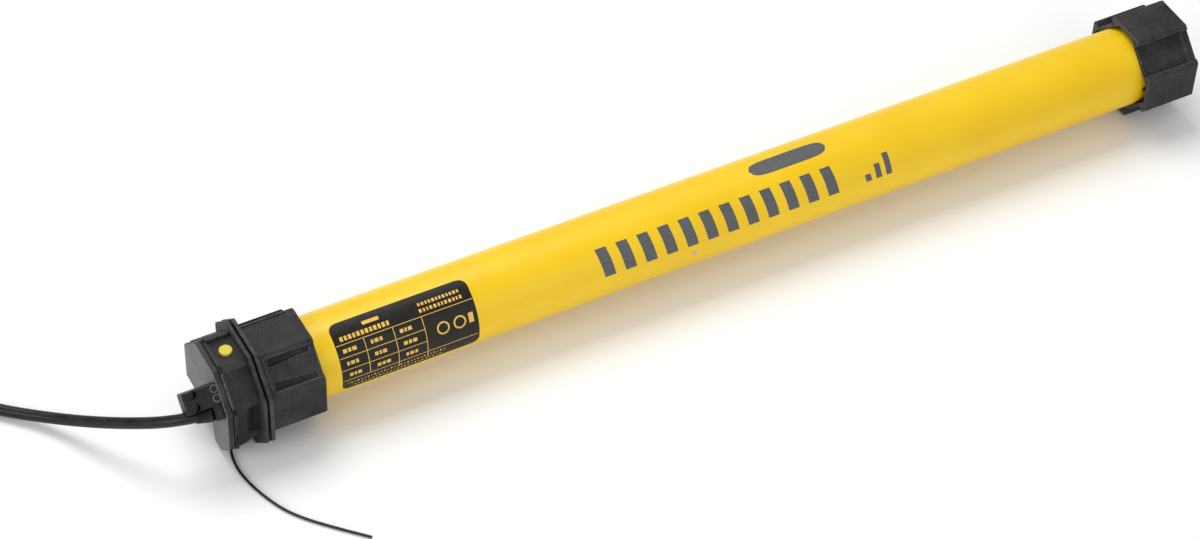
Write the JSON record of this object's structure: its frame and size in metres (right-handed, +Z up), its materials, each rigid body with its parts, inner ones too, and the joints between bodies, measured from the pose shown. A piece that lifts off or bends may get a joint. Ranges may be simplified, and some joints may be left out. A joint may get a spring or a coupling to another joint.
{
  "type": "roller shutter tubular motor",
  "caption": "Tubular roller shutter motor: a round drive tube with an octagonal limit crown and drive wheel, and a flanged head with a set button, a cable plug and an aerial wire.",
  "frame": {"origin": "on the floor under the drive axis, midway between the cable plug's end and the drive wheel's end", "axes": "+X along the drive axis from the head to the drive wheel, +Z up with the set button on top, the cable plug on the -Y side"},
  "size_m": [0.8008, 0.2138, 0.0614],
  "materials": {
    "tube_paint": "smooth satin powder coat, bright yellow",
    "zinc_steel": "bright zinc plate",
    "label_foil": "satin black foil with fine gold rules",
    "head_plastic": "dark grey glass-filled plastic, fine spark texture",
    "cover_plastic": "light grey satin plastic",
    "button_plastic": "yellow, moulded",
    "spring_steel": "drawn spring wire",
    "board_laminate": "green solder mask",
    "component_plastic": "moulded black plastic",
    "contact_brass": "tinned brass",
    "cable_jacket": "black cable jacket, satin",
    "adapter_plastic": "black glass-filled plastic, satin",
    "gear_plastic": "natural acetal",
    "capacitor_film": "pale grey plastic can",
    "foam_band": "soft foam",
    "lead_insulation": "wire insulation",
    "laminated_steel": "stacked electrical sheet",
    "winding_copper": "enamelled copper wire",
    "cast_aluminium": "die-cast",
    "bearing_bronze": "sintered bronze",
    "machined_steel": "turned and ground",
    "friction_lining": "pressed friction compound",
    "gear_steel": "sintered gear steel, oiled",
    "conductor_insulation": "brown, blue and green-yellow insulation"
  },
  "bodies": {
    "motor": {"motor_tube": "tube_paint", "tube_rivets": "zinc_steel", "rating_label": "label_foil", "head_body": "head_plastic", "head_front_cover": "cover_plastic", "button_spring": "spring_steel", "button_switch": "board_laminate", "cable_socket": "component_plastic", "cable_plug": "head_plastic", "plug_screws": "zinc_steel", "plug_contacts": "contact_brass", "cable_gland": "cable_jacket", "control_board": "board_laminate", "board_components": "component_plastic", "run_capacitor": "capacitor_film", "capacitor_strap": "foam_band", "inner_leads": "lead_insulation", "stator_core": "laminated_steel", "stator_windings": "winding_copper", "rear_end_shield": "cast_aluminium", "front_end_shield": "cast_aluminium", "rotor_bushes": "bearing_bronze", "brake_magnet": "machined_steel", "brake_coil": "winding_copper", "brake_spring": "spring_steel", "brake_guides": "machined_steel", "counter_plate": "machined_steel", "gear_sleeve": "gear_steel", "gearbox_cover": "cast_aluminium", "output_bush": "bearing_bronze", "mains_cable": "cable_jacket", "cable_coil": "cable_jacket", "cable_conductors": "conductor_insulation", "antenna_wire": "cable_jacket"},
    "crown": {"crown": "adapter_plastic", "crown_gear": "gear_plastic"},
    "limit_pinion": {"limit_pinion": "gear_plastic"},
    "set_button": {"set_button": "button_plastic"},
    "rotor": {"rotor_core": "laminated_steel", "rotor_cage": "cast_aluminium", "rotor_shaft": "machined_steel", "sun_gear_1": "gear_steel", "brake_lining": "friction_lining"},
    "brake_armature": {"brake_armature": "machined_steel"},
    "carrier_1": {"planet_carrier_1": "machined_steel", "sun_gear_2": "gear_steel"},
    "carrier_2": {"planet_carrier_2": "machined_steel", "sun_gear_3": "gear_steel"},
    "output": {"planet_carrier_3": "machined_steel", "drive_wheel": "adapter_plastic", "wheel_screw": "zinc_steel"},
    "planet_1a": {"planet_gear_1a": "gear_plastic"},
    "planet_1b": {"planet_gear_1b": "gear_plastic"},
    "planet_1c": {"planet_gear_1c": "gear_plastic"},
    "planet_2a": {"planet_gear_2a": "gear_steel"},
    "planet_2b": {"planet_gear_2b": "gear_steel"},
    "planet_2c": {"planet_gear_2c": "gear_steel"},
    "planet_3a": {"planet_gear_3a": "gear_steel"},
    "planet_3b": {"planet_gear_3b": "gear_steel"},
    "planet_3c": {"planet_gear_3c": "gear_steel"}
  },
  "joints": [
    {"name": "drive_spin", "type": "hinge", "parent": "motor", "child": "output", "pos_m": [0, 0, 0.0307], "axis": [1, 0, 0], "continuous": true},
    {"name": "carrier_2_spin", "type": "hinge", "parent": "motor", "child": "carrier_2", "pos_m": [0, 0, 0.0307], "axis": [1, 0, 0], "continuous": true},
    {"name": "carrier_1_spin", "type": "hinge", "parent": "motor", "child": "carrier_1", "pos_m": [0, 0, 0.0307], "axis": [1, 0, 0], "continuous": true},
    {"name": "rotor_spin", "type": "hinge", "parent": "motor", "child": "rotor", "pos_m": [0, 0, 0.0307], "axis": [1, 0, 0], "continuous": true},
    {"name": "planet_1a_spin", "type": "hinge", "parent": "carrier_1", "child": "planet_1a", "pos_m": [0, 0.0117, 0.0307], "axis": [1, 0, 0], "continuous": true},
    {"name": "planet_1b_spin", "type": "hinge", "parent": "carrier_1", "child": "planet_1b", "pos_m": [0, -0.00585, 0.04083], "axis": [1, 0, 0], "continuous": true},
    {"name": "planet_1c_spin", "type": "hinge", "parent": "carrier_1", "child": "planet_1c", "pos_m": [0, -0.00585, 0.02057], "axis": [1, 0, 0], "continuous": true},
    {"name": "planet_2a_spin", "type": "hinge", "parent": "carrier_2", "child": "planet_2a", "pos_m": [0, 0.0117, 0.0307], "axis": [1, 0, 0], "continuous": true},
    {"name": "planet_2b_spin", "type": "hinge", "parent": "carrier_2", "child": "planet_2b", "pos_m": [0, -0.00585, 0.04083], "axis": [1, 0, 0], "continuous": true},
    {"name": "planet_2c_spin", "type": "hinge", "parent": "carrier_2", "child": "planet_2c", "pos_m": [0, -0.00585, 0.02057], "axis": [1, 0, 0], "continuous": true},
    {"name": "planet_3a_spin", "type": "hinge", "parent": "output", "child": "planet_3a", "pos_m": [0, 0.0117, 0.0307], "axis": [1, 0, 0], "continuous": true},
    {"name": "planet_3b_spin", "type": "hinge", "parent": "output", "child": "planet_3b", "pos_m": [0, -0.00585, 0.04083], "axis": [1, 0, 0], "continuous": true},
    {"name": "planet_3c_spin", "type": "hinge", "parent": "output", "child": "planet_3c", "pos_m": [0, -0.00585, 0.02057], "axis": [1, 0, 0], "continuous": true},
    {"name": "crown_spin", "type": "hinge", "parent": "motor", "child": "crown", "pos_m": [0, 0, 0.0307], "axis": [1, 0, 0], "continuous": true},
    {"name": "limit_pinion_spin", "type": "hinge", "parent": "motor", "child": "limit_pinion", "pos_m": [0, 0.0072, 0.01823], "axis": [1, 0, 0], "continuous": true},
    {"name": "set_button_press", "type": "slide", "parent": "motor", "child": "set_button", "axis": [0, 0, -1], "range_m": [0, 0.001], "stiffness_N_per_m": 400, "springref_m": -0.002, "deforming": ["button_spring"]},
    {"name": "brake_release", "type": "slide", "parent": "motor", "child": "brake_armature", "axis": [-1, 0, 0], "range_m": [0, 0.0004], "stiffness_N_per_m": 3000, "springref_m": -0.003, "deforming": ["brake_spring"]}
  ],
  "couplings": [
    {"joint": "carrier_2_spin", "follows": "drive_spin", "ratio": 4.5},
    {"joint": "carrier_1_spin", "follows": "drive_spin", "ratio": 20.25},
    {"joint": "rotor_spin", "follows": "drive_spin", "ratio": 91.125},
    {"joint": "planet_1a_spin", "follows": "drive_spin", "ratio": -56.7},
    {"joint": "planet_1b_spin", "follows": "drive_spin", "ratio": -56.7},
    {"joint": "planet_1c_spin", "follows": "drive_spin", "ratio": -56.7},
    {"joint": "planet_2a_spin", "follows": "drive_spin", "ratio": -12.6},
    {"joint": "planet_2b_spin", "follows": "drive_spin", "ratio": -12.6},
    {"joint": "planet_2c_spin", "follows": "drive_spin", "ratio": -12.6},
    {"joint": "planet_3a_spin", "follows": "drive_spin", "ratio": -2.8},
    {"joint": "planet_3b_spin", "follows": "drive_spin", "ratio": -2.8},
    {"joint": "planet_3c_spin", "follows": "drive_spin", "ratio": -2.8},
    {"joint": "limit_pinion_spin", "follows": "crown_spin", "ratio": 3}
  ]
}
